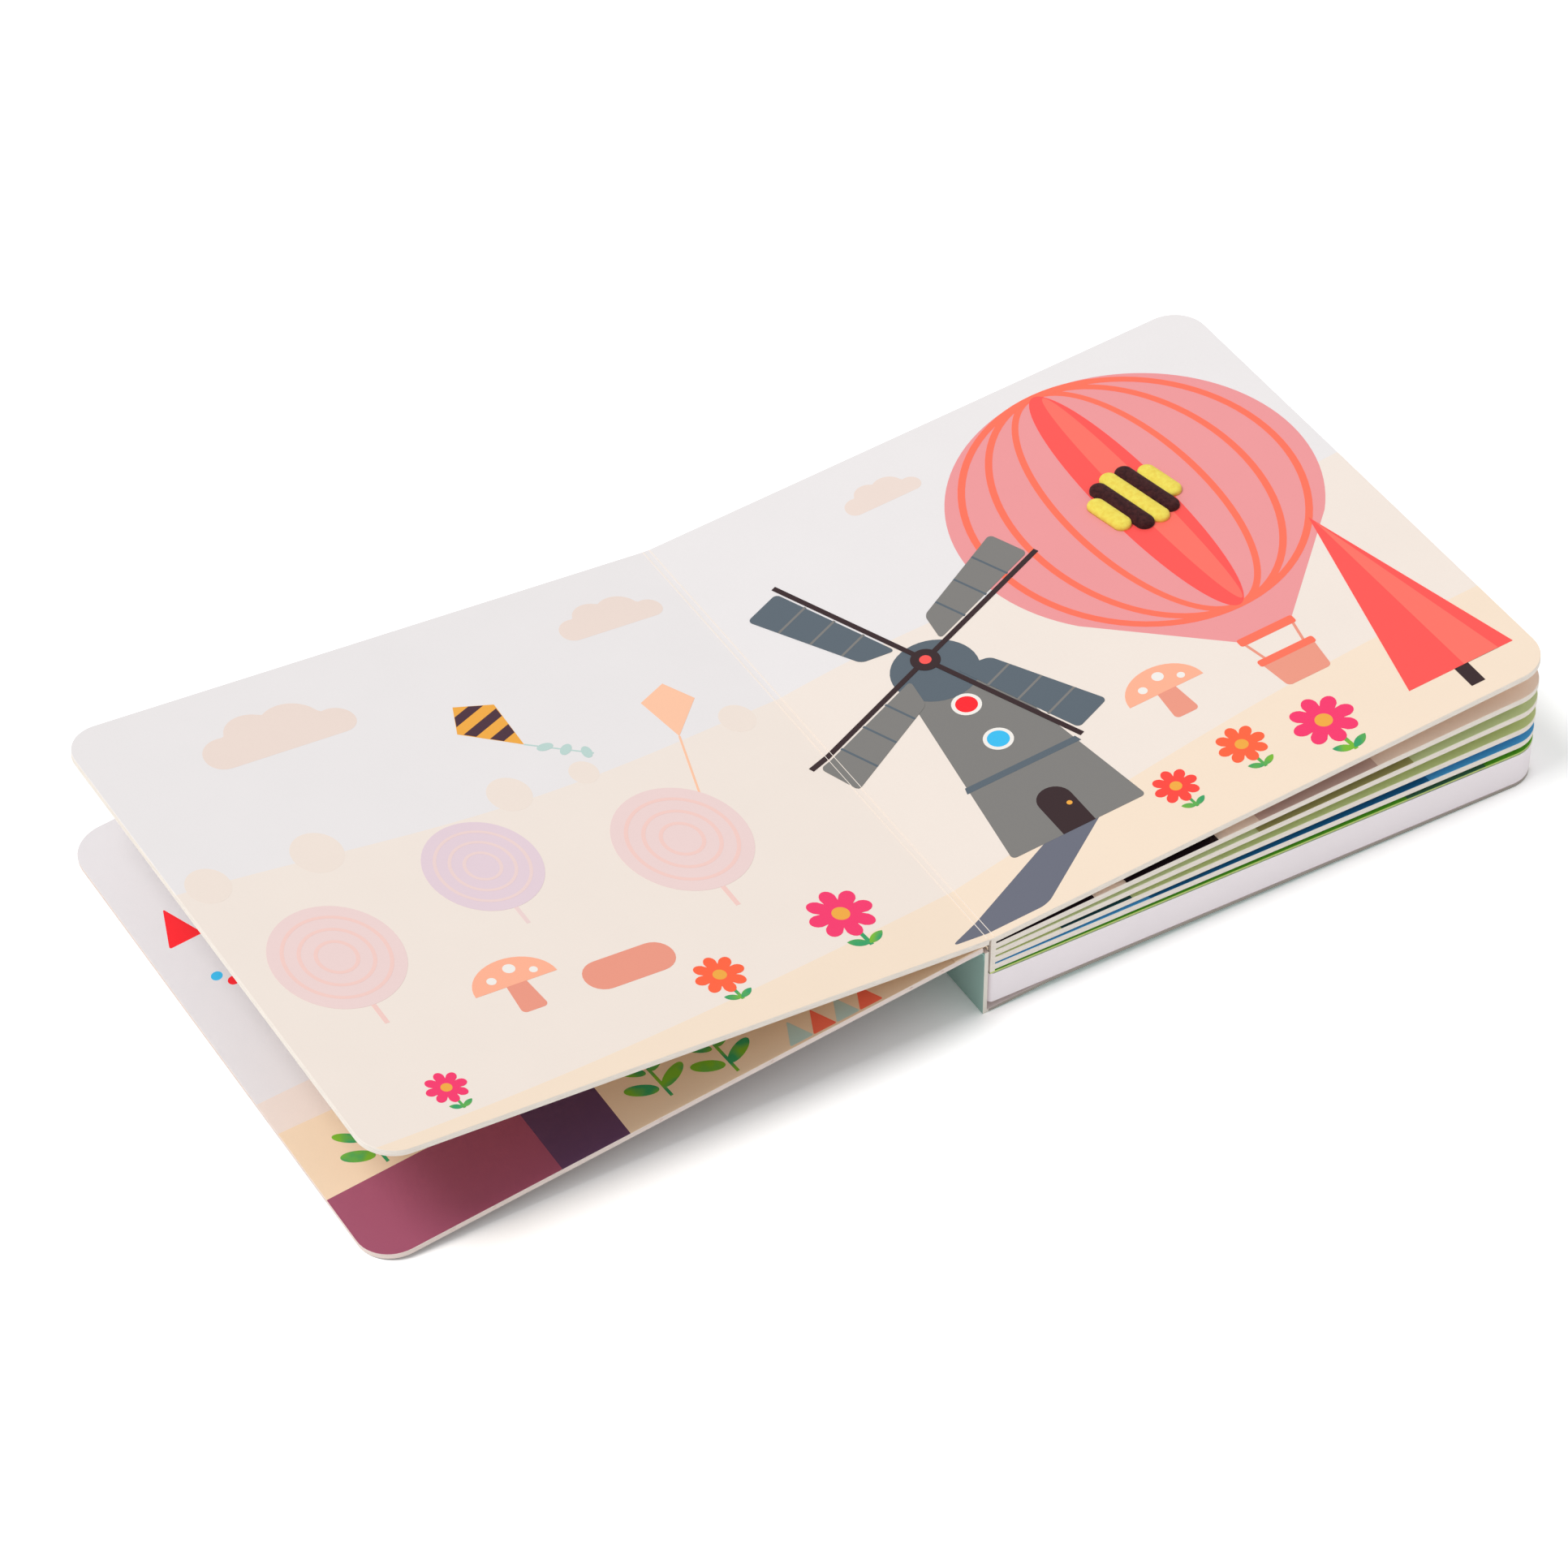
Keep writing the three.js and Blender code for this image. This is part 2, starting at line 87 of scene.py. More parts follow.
# Places of the block, the leaves and the cover; each maps page millimetres to frame millimetres.
blockLow, blockHigh = (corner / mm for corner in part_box("foam_block"))
blockPlace = movedBy(
    blockLow.x, blockLow.y, blockHigh.z - book["blockHeight"] * cos(radians(book["tilt"]))
) @ turnedY(book["tilt"])
leafCount = len(book["fan"])
leafPitch = book["leaf"] + book["leafGap"]
sheetBottom = book["blockHeight"] + book["seat"]
sheetTop = sheetBottom + book["sheet"]
leafBottoms = [sheetTop + book["leafGap"] + i * leafPitch for i in range(leafCount)]
leafAngles = [sum(book["fan"][: i + 1]) for i in range(leafCount)]
foldTop = leafBottoms[-1] + book["leaf"]


def leafPlace(i):
    start = book["leafStart"]
    return blockPlace @ movedBy(start, 0, leafBottoms[i]) @ turnedY(-leafAngles[i]) @ movedBy(-start, 0, 0)


topPlace = leafPlace(leafCount - 1)
turnedPlace = blockPlace @ movedBy(0, 0, foldTop) @ turnedY(book["turnedRise"])
hinge = Vector(next(j for j in frame["joints"] if j["type"] == "hinge")["pos_m"]) / mm
coverFall = degrees(asin(hinge.z / book["width"]))
coverPlace = movedBy(hinge.x, blockLow.y, hinge.z) @ turnedY(-coverFall)


# Colours are written as they look in the photo, 0 to 255.
def shade(red, green, blue):
    def linear(value):
        value /= 255
        return value / 12.92 if value <= 0.04045 else ((value + 0.055) / 1.055) ** 2.4
    return (linear(red), linear(green), linear(blue), 1)


black = shade(0, 0, 0)


def newMaterial(name):
    material = bpy.data.materials.new(name)
    material.use_nodes = True
    tree = material.node_tree
    return material, tree, tree.nodes["Principled BSDF"]


def addNode(tree, kind, inputs=(), **settings):
    node = tree.nodes.new("ShaderNode" + kind)
    for key, value in settings.items():
        setattr(node, key, value)
    for key, value in dict(inputs).items():
        if isinstance(value, bpy.types.NodeSocket):
            tree.links.new(value, node.inputs[key])
        else:
            node.inputs[key].default_value = value
    return node


def calc(tree, operation, *values):
    return addNode(tree, "Math", enumerate(values), operation=operation).outputs[0]


def mixColours(tree, factor, first, second):
    return addNode(tree, "Mix", {0: factor, 6: first, 7: second}, data_type="RGBA").outputs[2]


def noiseOf(tree, vector, scale, detail=3, roughness=0.55):
    inputs = {"Vector": vector, "Scale": scale, "Detail": detail, "Roughness": roughness}
    return addNode(tree, "TexNoise", inputs).outputs["Fac"]


# How far a value lies between two ends, 0 to 1
def shareOf(tree, value, low, high):
    return addNode(tree, "MapRange", {"Value": value, "From Min": low, "From Max": high}).outputs[0]


def addBump(tree, shader, height, strength, depth):
    bump = addNode(tree, "Bump", {"Strength": strength, "Distance": depth * mm, "Height": height})
    tree.links.new(bump.outputs[0], shader.inputs["Normal"])


def addRoughness(tree, shader, grain, low, high):
    rough = addNode(tree, "MapRange", {"Value": grain, "To Min": low, "To Max": high})
    tree.links.new(rough.outputs[0], shader.inputs["Roughness"])


# Position on a piece, in millimetres, measured from its place
def positionOn(tree, place):
    inputs = {
        "Vector": addNode(tree, "TexCoord").outputs["Object"],
        "Location": place.to_translation() * mm,
        "Rotation": place.to_euler(),
        "Scale": (mm, mm, mm),
    }
    return addNode(tree, "Mapping", inputs, vector_type="TEXTURE").outputs[0]


# Satin varnish over print: a faint mottle in the colour and a fine grain in the surface
varnish = {
    "roughness": (0.37, 0.49),
    "gloss": 0.3,
    "mottle": 0.03,
    "mottleScale": 0.05,
    "grainScale": 2.2,
    "grain": 0.35,
    "grainDepth": 0.035,
}


def varnished(tree, shader, colour, point):
    cloudy = noiseOf(tree, point, varnish["mottleScale"])
    grain = noiseOf(tree, point, varnish["grainScale"], 2)
    amount = calc(tree, "MULTIPLY", calc(tree, "ADD", cloudy, grain), varnish["mottle"])
    tree.links.new(mixColours(tree, amount, colour, black), shader.inputs["Base Color"])
    addBump(tree, shader, grain, varnish["grain"], varnish["grainDepth"])
    addRoughness(tree, shader, grain, *varnish["roughness"])
    shader.inputs["Specular IOR Level"].default_value = varnish["gloss"]


# Fields of colour on a sheet. Each field lies below a wavy line, given by its height, swing,
# wave and shift, and may be kept between two places across.
def colouredSheet(name, place, base, fields):
    material, tree, shader = newMaterial(name)
    point = positionOn(tree, place)
    split = addNode(tree, "SeparateXYZ", {"Vector": point})
    x, y = split.outputs["X"], split.outputs["Y"]
    colour = base
    for field in fields:
        height, swing, wave, shift = field["below"]
        line = calc(tree, "SINE", calc(tree, "DIVIDE", calc(tree, "ADD", x, shift), wave))
        line = calc(tree, "MULTIPLY_ADD", line, swing, height)
        mask = calc(tree, "LESS_THAN", y, line)
        if "across" in field:
            for end, operation in zip(field["across"], ("GREATER_THAN", "LESS_THAN")):
                mask = calc(tree, "MULTIPLY", mask, calc(tree, operation, x, end))
        colour = mixColours(tree, mask, colour, field["colour"])
    varnished(tree, shader, colour, point)
    return material


# Cut board edge: pressed pale plies in fine layers along the sheet
boardEdge = {
    "plies": (0.12, 0.12, 2.6),    # how fine they run along, across and through the board
    "plyScale": 1.6,
    "plyContrast": (0.35, 0.7),
    "darkPly": 0.8,
    "fibreScale": 3.0,
    "roughness": 0.85,
    "bump": 0.4,
    "bumpDepth": 0.05,
}


def boardEdgeMaterial(name, colour, place):
    material, tree, shader = newMaterial(name)
    point = positionOn(tree, place)
    plies = addNode(tree, "VectorMath", {0: point, 1: boardEdge["plies"]}, operation="MULTIPLY").outputs[0]
    layers = noiseOf(tree, plies, boardEdge["plyScale"], 4, 0.7)
    tint = shareOf(tree, layers, *boardEdge["plyContrast"])
    darker = tuple(part * boardEdge["darkPly"] for part in colour[:3]) + (1,)
    tree.links.new(mixColours(tree, tint, colour, darker), shader.inputs["Base Color"])
    shader.inputs["Roughness"].default_value = boardEdge["roughness"]
    fibres = noiseOf(tree, point, boardEdge["fibreScale"], 3, 0.7)
    addBump(tree, shader, fibres, boardEdge["bump"], boardEdge["bumpDepth"])
    return material


# Plain stuffs: plastic, rubber, metal, foam and resin, with a mottle and a fine grain of their own
def stuff(name, colour, roughness, metallic=0.0, mottle=0.06, grain=1.5, bump=0.02, clearcoat=0.0):
    material, tree, shader = newMaterial(name)
    point = positionOn(tree, Matrix.Identity(4))
    fine = noiseOf(tree, point, grain, 4, 0.6)
    wide = noiseOf(tree, point, 0.08, 2)
    amount = calc(tree, "MULTIPLY", calc(tree, "ADD", fine, wide), mottle)
    tree.links.new(mixColours(tree, amount, colour, black), shader.inputs["Base Color"])
    addRoughness(tree, shader, fine, roughness - 0.06, roughness + 0.08)
    addBump(tree, shader, fine, 0.5, bump)
    shader.inputs["Metallic"].default_value = metallic
    shader.inputs["Coat Weight"].default_value = clearcoat
    return material


# Finishes a mesh: faces outward, flat shading unless asked, laid in the frame in metres.
def addPiece(name, bm, materials, body="book_block", smooth=False):
    bmesh.ops.recalc_face_normals(bm, faces=bm.faces[:])
    bmesh.ops.scale(bm, vec=(mm, mm, mm), verts=bm.verts[:])
    mesh = bpy.data.meshes.new(name)
    for face in bm.faces:
        face.smooth = smooth
    bm.to_mesh(mesh)
    bm.free()
    for material in materials:
        mesh.materials.append(material)
    piece = bpy.data.objects.new(name, mesh)
    bpy.context.scene.collection.objects.link(piece)
    if body:
        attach(piece, body)
    return piece


def vertsIn(made):
    return [part for part in made["geom"] if isinstance(part, bmesh.types.BMVert)]


def facesOn(verts):
    return list({face for v in verts for face in v.link_faces})


def roundCorners(bm, verts, radius, segments=12):
    bmesh.ops.bevel(
        bm, geom=verts, offset=radius, offset_type="OFFSET", segments=segments,
        profile=0.5, affect="VERTICES", material=-1, clamp_overlap=True,
    )


def easeEdges(bm, edges, ease, segments):
    bmesh.ops.bevel(
        bm, geom=edges, offset=ease, segments=segments, profile=0.5, affect="EDGES",
        material=-1, clamp_overlap=True,
    )


def thicken(bm, faces, height):
    raised = vertsIn(bmesh.ops.extrude_face_region(bm, geom=faces))
    bmesh.ops.translate(bm, verts=raised, vec=(0, 0, height))


def addBlock(bm, low, high):
    size = Matrix.Diagonal((*(b - a for a, b in zip(low, high)), 1))
    middle = movedBy(*((a + b) / 2 for a, b in zip(low, high)))
    return bmesh.ops.create_cube(bm, size=1, matrix=middle @ size)["verts"]


# A board from the fold out to round corners, with eased rims.
# Its materials are the top print, the bottom print and the cut edge.
rim = {"ease": 0.16, "segments": 2}


def boardMesh(start, end, frontEdge, bottom, thickness):
    bm = bmesh.new()
    outline = ((start, frontEdge), (end, frontEdge), (end, book["depth"]), (start, book["depth"]))
    corners = [bm.verts.new((x, y, bottom)) for x, y in outline]
    bm.faces.new(corners)
    roundCorners(bm, [v for v in corners if abs(v.co.x - end) < 1e-4], book["corner"])
    thicken(bm, bm.faces[:], thickness)
    rims = [
        edge for edge in bm.edges
        if abs(edge.verts[0].co.z - edge.verts[1].co.z) < 1e-5
        and not all(abs(v.co.x - start) < 1e-4 for v in edge.verts)
    ]
    easeEdges(bm, rims, rim["ease"], rim["segments"])
    bmesh.ops.recalc_face_normals(bm, faces=bm.faces[:])
    for face in bm.faces:
        isTop = face.calc_center_median().z > bottom + thickness / 2
        face.material_index = 2 if abs(face.normal.z) <= 0.9 else (0 if isTop else 1)
    return bm


# Pages
ground = {
    "sky": shade(235, 231, 231),
    "hill": shade(241, 229, 219),
    "field": shade(245, 225, 203),
}
spreadFields = [
    {"colour": ground["hill"], "below": (106, 4, 38, 20)},
    {"colour": ground["field"], "below": (20, 16, 115, 0)},
]
turnedUnder = {
    "base": shade(240, 232, 228),
    "fields": [{"colour": shade(242, 216, 186), "below": (60, 6, 40, 0)}],
}
# Each hidden sheet from the block upward: its colour, and fields of other colours along it.
# The mauve band on the top one is painted shade in the gap under the top leaf.
darkPatch = shade(38, 24, 30)
hiddenPrintsAndShade = [
    (shade(112, 192, 52), [
        {"colour": shade(78, 132, 100), "below": (200, 0, 1, 0), "across": (133, 159)},
    ]),
    (shade(98, 190, 234), [
        {"colour": shade(40, 124, 172), "below": (34, 8, 30, 0), "across": (50, 140)},
    ]),
    (shade(224, 232, 172), [
        {"colour": shade(42, 92, 98), "below": (14, 6, 20, 0), "across": (22, 44)},
    ]),
    (shade(228, 235, 186), [
        {"colour": shade(184, 176, 116), "below": (40, 10, 26, 0), "across": (84, 134)},
    ]),
    (shade(255, 234, 216), [
        {"colour": darkPatch, "below": (30, 6, 14, 0), "across": (0, 32)},
        {"colour": darkPatch, "below": (30, 6, 14, 0), "across": (42, 71)},
        # painted shade: a darker mauve band where the gap under the top leaf lies in shade
        {"colour": shade(216, 186, 174), "below": (36, 6, 14, 0), "across": (84, 122)},
    ]),
]
blockSheetEdge = shade(204, 220, 132)
leafEdgeColour = shade(251, 242, 231)


def addBoard(name, bm, place, materials):
    bm.transform(place)
    piece = addPiece(name, bm, materials)
    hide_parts("page_block")


def addPages():
    hiddenSheets = [
        colouredSheet(f"hidden_sheet_{i + 1}", leafPlace(max(i - 1, 0)), base, fields)
        for i, (base, fields) in enumerate(hiddenPrintsAndShade)
    ]
    spreadRight = colouredSheet("spread_right_print", topPlace, ground["sky"], spreadFields)
    spreadLeft = colouredSheet("spread_left_print", turnedPlace, ground["sky"], spreadFields)
    under = colouredSheet("turned_under_print", turnedPlace, turnedUnder["base"], turnedUnder["fields"])
    tops = hiddenSheets[1:] + [spreadRight]
    edges = [boardEdgeMaterial(f"leaf_edge_{i + 1}", leafEdgeColour, leafPlace(i)) for i in range(leafCount)]
    turnedEdge = boardEdgeMaterial("turned_edge", leafEdgeColour, turnedPlace)
    sheetEdge = boardEdgeMaterial("block_sheet_edge", blockSheetEdge, blockPlace)

    start, width, leaf = book["leafStart"], book["width"], book["leaf"]
    for i in range(leafCount):
        bm = boardMesh(start, width, 0, 0, leaf)
        addBoard(f"page_leaf_{i + 1}", bm, leafPlace(i), [tops[i], hiddenSheets[i], edges[i]])
    bm = boardMesh(-start, -width, 0, -leaf, leaf)
    addBoard("turned_leaf", bm, turnedPlace, [spreadLeft, under, turnedEdge])
    bm = boardMesh(0, width, 0, sheetBottom, book["sheet"])
    addBoard("block_sheet", bm, blockPlace, [hiddenSheets[0], hiddenSheets[0], sheetEdge])
    print("pages made")
    return spreadRight, edges[0]


# The glued edges at the fold, with the printed strip over them
def addFold(spreadRight, edge):
    bm = bmesh.new()
    bound, stripBottom = book["bound"], foldTop - book["foldSheet"]
    front, back = book["boundShort"], book["depth"] - book["boundShort"]
    addBlock(bm, (0, front, sheetBottom), (bound, back, stripBottom))
    addBlock(bm, (-book["leafStart"] - bound, front, stripBottom), (bound, back, foldTop))
    bmesh.ops.recalc_face_normals(bm, faces=bm.faces[:])
    for face in bm.faces:
        face.material_index = 0 if face.normal.z > 0.9 else 1
    addBoard("page_binding", bm, blockPlace, [spreadRight, edge])


# Inks, with a slab's depth in the board and its height for each layer
slab = {"sunk": 0.1, "layer": 0.02}
inks = {
    "grey": shade(124, 122, 119),
    "slate": shade(86, 98, 108),
    "night": shade(103, 106, 120),
    "maroon": shade(40, 12, 18),
    "cream": shade(243, 238, 232),
    "cyan": shade(53, 189, 240),
    "red": shade(255, 24, 38),
    "pink": shade(237, 152, 154),
    "orange": shade(255, 114, 88),
    "coral": shade(255, 84, 80),
    "coralLight": shade(255, 112, 98),
    "magenta": shade(246, 50, 108),
    "flame": shade(255, 98, 58),
    "poppy": shade(255, 68, 58),
    "green": shade(46, 158, 98),
    "lime": shade(120, 184, 42),
    "lilac": shade(229, 208, 217),
    "rose": shade(238, 212, 209),
    "blush": shade(244, 205, 197),
    "cloud": shade(237, 219, 209),
    "haze": shade(240, 226, 215),
    "apricot": shade(254, 198, 164),
    "peach": shade(254, 178, 146),
    "clay": shade(236, 152, 130),
    "amber": shade(241, 170, 62),
    "dark": shade(64, 28, 46),
    "teal": shade(188, 214, 208),
    # pale lines on the creases at the fold: partly scuffed print, partly painted highlight
    "crease": shade(249, 238, 227),
}
inkNames = list(inks)
inkBlends = {"green": "lime", "lime": "green"}    # these two run into each other in soft patches
blendPatches = {"scale": 0.16, "contrast": (0.4, 0.62)}


def inkMaterial(ink):
    material, tree, shader = newMaterial("ink_" + ink)
    point = positionOn(tree, Matrix.Identity(4))
    colour = inks[ink]
    if ink in inkBlends:
        patches = noiseOf(tree, point, blendPatches["scale"], 1)
        patch = shareOf(tree, patches, *blendPatches["contrast"])
        colour = mixColours(tree, patch, colour, inks[inkBlends[ink]])
    varnished(tree, shader, colour, point)
    return material


def layInk(bm, faces, ink, layer):
    for face in faces:
        face.material_index = inkNames.index(ink)
    thicken(bm, faces, slab["sunk"] + slab["layer"] * layer)


def arc(x, y, radiusX, radiusY, start, end, steps):
    angles = [radians(start + (end - start) * i / steps) for i in range(steps + 1)]
    return [(x + radiusX * cos(a), y + radiusY * sin(a)) for a in angles]


# Gives the places of a shape that leans by an angle about (x, y).
def leanedAbout(x, y, angle, size=1):
    lean = Matrix.Rotation(radians(angle), 2)

    def at(across, up):
        point = lean @ Vector((across * size, up * size))
        return (x + point.x, y + point.y)
    return at


def drawShape(bm, points, ink, layer, rounding=0):
    verts = [bm.verts.new((x, y, -slab["sunk"])) for x, y in points]
    faces = [bm.faces.new(verts)]
    if rounding:
        known = set(bm.faces)
        roundCorners(bm, verts, rounding, 6)
        faces = [f for f in faces if f.is_valid] or [f for f in bm.faces if f not in known]
    layInk(bm, faces, ink, layer)


# A four-sided shape upright about x, from low to high, with its half width at the foot and the top
def drawPanel(bm, x, heights, halves, ink, layer, rounding=0):
    low, high = heights
    foot, top = halves
    drawShape(bm, [(x - foot, low), (x + foot, low), (x + top, high), (x - top, high)], ink, layer, rounding)


def drawDisc(bm, x, y, radius, ink, layer, stretch=(1, 1), turn=0, segments=40):
    shape = movedBy(x, y, -slab["sunk"]) @ Matrix.Rotation(radians(turn), 4, "Z")
    shape = shape @ Matrix.Diagonal((*stretch, 1, 1))
    made = bmesh.ops.create_circle(bm, cap_ends=True, segments=segments, radius=radius, matrix=shape)
    layInk(bm, facesOn(made["verts"]), ink, layer)


def drawRing(bm, x, y, radii, width, ink, layer, segments=56):
    loops = []
    for grow in (width / 2, -width / 2):
        shape = movedBy(x, y, -slab["sunk"]) @ Matrix.Diagonal((radii[0] + grow, radii[1] + grow, 1, 1))
        made = bmesh.ops.create_circle(bm, cap_ends=False, segments=segments, radius=1, matrix=shape)
        loops += list({edge for v in made["verts"] for edge in v.link_edges})
    faces = bmesh.ops.bridge_loops(bm, edges=loops)["faces"]
    layInk(bm, faces, ink, layer)


def drawLine(bm, start, end, width, ink, layer):
    a, b = Vector(start), Vector(end)
    side = (b - a).orthogonal().normalized() * width / 2
    drawShape(bm, [a - side, b - side, b + side, a + side], ink, layer)


# Two arcs that meet in points
def drawLeaf(bm, x, y, length, turn, ink, layer):
    upper = arc(0, -0.5 * length, 0.72 * length, 0.72 * length, 45, 135, 8)
    at = leanedAbout(x, y, turn)
    points = upper + [(-px, -py) for px, py in upper]
    drawShape(bm, [at(px + length / 2, py) for px, py in points], ink, layer)


# A flower's measures are in parts of its radius.
flower = {
    "petals": 8,
    "petalSteps": 10,
    "inner": 0.56,
    "swell": 0.42,
    "fullness": 0.6,
    "heart": 0.26,
    "stem": 1.45,
    "leaf": 0.62,
}


def drawFlower(bm, x, y, size, ink):
    stem, leaf = flower["stem"] * size, flower["leaf"] * size
    drawLine(bm, (x, y), (x + 0.12 * size, y - stem), 0.13 * size, "green", 2)
    root = (x + 0.1 * size, y - 0.95 * stem)
    drawLeaf(bm, *root, leaf, 28, "lime", 3)
    drawLeaf(bm, *root, leaf, 152, "green", 3.4)
    petals = flower["petals"]
    steps = petals * flower["petalSteps"]
    outline = []
    for i in range(steps):
        turn = 2 * pi * i / steps
        swell = flower["swell"] * abs(cos(petals * turn / 2)) ** flower["fullness"]
        reach = size * (flower["inner"] + swell)
        outline.append((x + reach * cos(turn), y + reach * sin(turn)))
    drawShape(bm, outline, ink, 4)
    drawDisc(bm, x, y, flower["heart"] * size, "amber", 5, segments=24)


# A round tree's measures are in parts of its radius.
roundTree = {
    "stretch": (0.92, 1.05),
    "stem": (-0.2, -1.45),
    "stemWidth": 0.07,
    "rings": (0.78, 0.54, 0.3),
    "ring": 0.055,
}


def drawRoundTree(bm, x, y, radius, ink, line):
    stemTop, stemFoot = (y + radius * share for share in roundTree["stem"])
    wide, tall = (radius * share for share in roundTree["stretch"])
    drawLine(bm, (x, stemTop), (x, stemFoot), roundTree["stemWidth"] * radius, line, 2)
    drawDisc(bm, x, y, radius, ink, 3, roundTree["stretch"], segments=56)
    for share in roundTree["rings"]:
        drawRing(bm, x, y, (wide * share, tall * share), roundTree["ring"] * radius, line, 4)


# A cloud's outline: the highest of four bumps all along a flat base with round ends
cloud = {
    "bumps": ((-0.62, 0.24, 0.28), (-0.22, 0.44, 0.32), (0.24, 0.36, 0.38), (0.7, 0.2, 0.24)),
    "leftEnd": 0.22,
    "rightEnd": 0.2,
    "steps": 64,
}


def drawCloud(bm, x, y, size):
    bumps, steps = cloud["bumps"], cloud["steps"]
    left, right = cloud["leftEnd"], cloud["rightEnd"]
    low = min(across - radius for across, up, radius in bumps)
    high = max(across + radius for across, up, radius in bumps)
    outline = arc(low + left, left, left, left, 180, 270, 6)
    outline += arc(high - right, right, right, right, 270, 360, 6)
    for i in range(steps - 1, 0, -1):
        at = low + (high - low) * (1 - cos(pi * i / steps)) / 2
        tops = [
            up + sqrt(radius ** 2 - (at - across) ** 2)
            for across, up, radius in bumps if abs(at - across) < radius
        ]
        outline.append((at, max(tops)))
    drawShape(bm, [(x + size * px, y + size * py) for px, py in outline], "cloud", 1)


# A toadstool's measures are in parts of its size: spots are given across, up and in radius.
toadstool = {
    "foot": (0.2, 0.14),
    "footTop": 0.7,
    "cap": (0.62, 0.52),
    "capBottom": 0.55,
    "spots": ((-0.28, 0.74, 0.07), (0.05, 0.86, 0.09), (0.34, 0.7, 0.06)),
}


def drawToadstool(bm, x, y, size):
    foot = [size * half for half in toadstool["foot"]]
    wide, tall = (size * share for share in toadstool["cap"])
    drawPanel(bm, x, (y, y + toadstool["footTop"] * size), foot, "clay", 2, 0.08 * size)
    drawShape(bm, arc(x, y + toadstool["capBottom"] * size, wide, tall, 0, 180, 20), "peach", 3)
    for across, up, radius in toadstool["spots"]:
        drawDisc(bm, x + across * size, y + up * size, radius * size, "cream", 4, segments=16)


# A kite from its point to its top, with bands cut to its outline; returns the place of its point.
kite = {
    "half": 0.62,
    "wide": 0.25,
    "top": 0.85,
    "bands": ((-0.62, -0.36), (-0.1, 0.14), (0.4, 0.62)),
    "bandShare": 0.97,
}


def drawKite(bm, x, y, size, turn, ink, band=None):
    half, wide, top = kite["half"], kite["wide"], kite["top"]
    at = leanedAbout(x, y, turn, size)

    def reach(up):
        share = (1 + up) / (1 + wide) if up < wide else (top - up) / (top - wide)
        return half * share * kite["bandShare"]

    drawShape(bm, [at(0, -1), at(half, wide), at(0, top), at(-half, wide)], ink, 3)
    for low, high in kite["bands"] if band else ():
        corners = [at(-reach(low), low), at(reach(low), low), at(reach(high), high), at(-reach(high), high)]
        drawShape(bm, corners, band, 4)
    return at(0, -1)


# Heights of the gallery, door, knob and windows are above the foot of the mill.
windmill = {
    "x": 41,
    "foot": 21,
    "top": 92,
    "half": (21, 11),
    "path": ((-7, 23), (9, 23), (-22, 2.2), (-52, 2.2)),
    "cap": 12.5,
    "door": (5, 12),
    "knob": (2.6, 9),
    "gallery": (27, 29.2),
    "galleryHalf": (18, 17.4),
    "windows": ((40, "cyan"), (56, "red")),
    "frame": 4.2,
    "pane": 3.1,
    "hub": 98,
    "turns": (22, 112, 202, 292),
    "sail": ((9, 1.5), (50, 1.5), (50, 14.5), (14, 10.5)),
    "bars": (20, 30, 40),
}


def drawWindmill(bm):
    x, foot, top, hub = (windmill[key] for key in ("x", "foot", "top", "hub"))
    drawShape(bm, [(x + across, up) for across, up in windmill["path"]], "night", 1, 2.5)
    drawPanel(bm, x, (foot, top), windmill["half"], "grey", 2, 1.5)
    drawDisc(bm, x, top + 1, windmill["cap"], "slate", 3, (1, 0.95))
    half, tall = windmill["door"]
    doorway = [(x - half, foot), (x + half, foot)] + arc(x, foot + tall, half, half, 0, 180, 14)
    drawShape(bm, doorway, "maroon", 3)
    across, up = windmill["knob"]
    drawDisc(bm, x + across, foot + up, 0.8, "amber", 4, segments=14)
    low, high = (foot + up for up in windmill["gallery"])
    drawPanel(bm, x, (low, high), windmill["galleryHalf"], "slate", 3)
    for up, ink in windmill["windows"]:
        drawDisc(bm, x, foot + up, windmill["frame"], "cream", 3, segments=28)
        drawDisc(bm, x, foot + up, windmill["pane"], ink, 4, segments=28)
    (tip, tipSide), (root, rootSide) = windmill["sail"][2:]
    for i, turn in enumerate(windmill["turns"]):
        at = leanedAbout(x, hub, turn)
        sail, bar = ("slate", "grey") if i % 2 else ("grey", "slate")
        drawShape(bm, [at(along, side) for along, side in windmill["sail"]], sail, 6, 1.6)
        for along in windmill["bars"]:
            edge = rootSide + (along - root) * (tipSide - rootSide) / (tip - root)
            drawLine(bm, at(along, 1.2), at(along, edge), 0.7, bar, 6.4)
        drawLine(bm, at(0, 0), at(tip + 2, 0), 1.6, "maroon", 7 + 0.3 * i)
    drawDisc(bm, x, hub, 4.2, "maroon", 8.4, segments=28)
    drawDisc(bm, x, hub, 1.7, "coral", 9, segments=20)


# The basket hangs under the neck, and its heights are from the lower end of the neck.
balloon = {
    "x": 122.9,
    "y": 119.2,
    "radius": 53,
    "neck": 65,
    "neckHalf": 8,
    "ribs": (0.4, 0.66, 0.88),
    "rib": 2.1,
    "inside": 0.985,         # the ribs and the stripe stop short of the balloon's own edge
    "stripe": 0.19,
    "light": 0.08,
    "basket": (-21, -9),
    "basketHalf": (7, 8.5),
    "band": (9, 9),
}


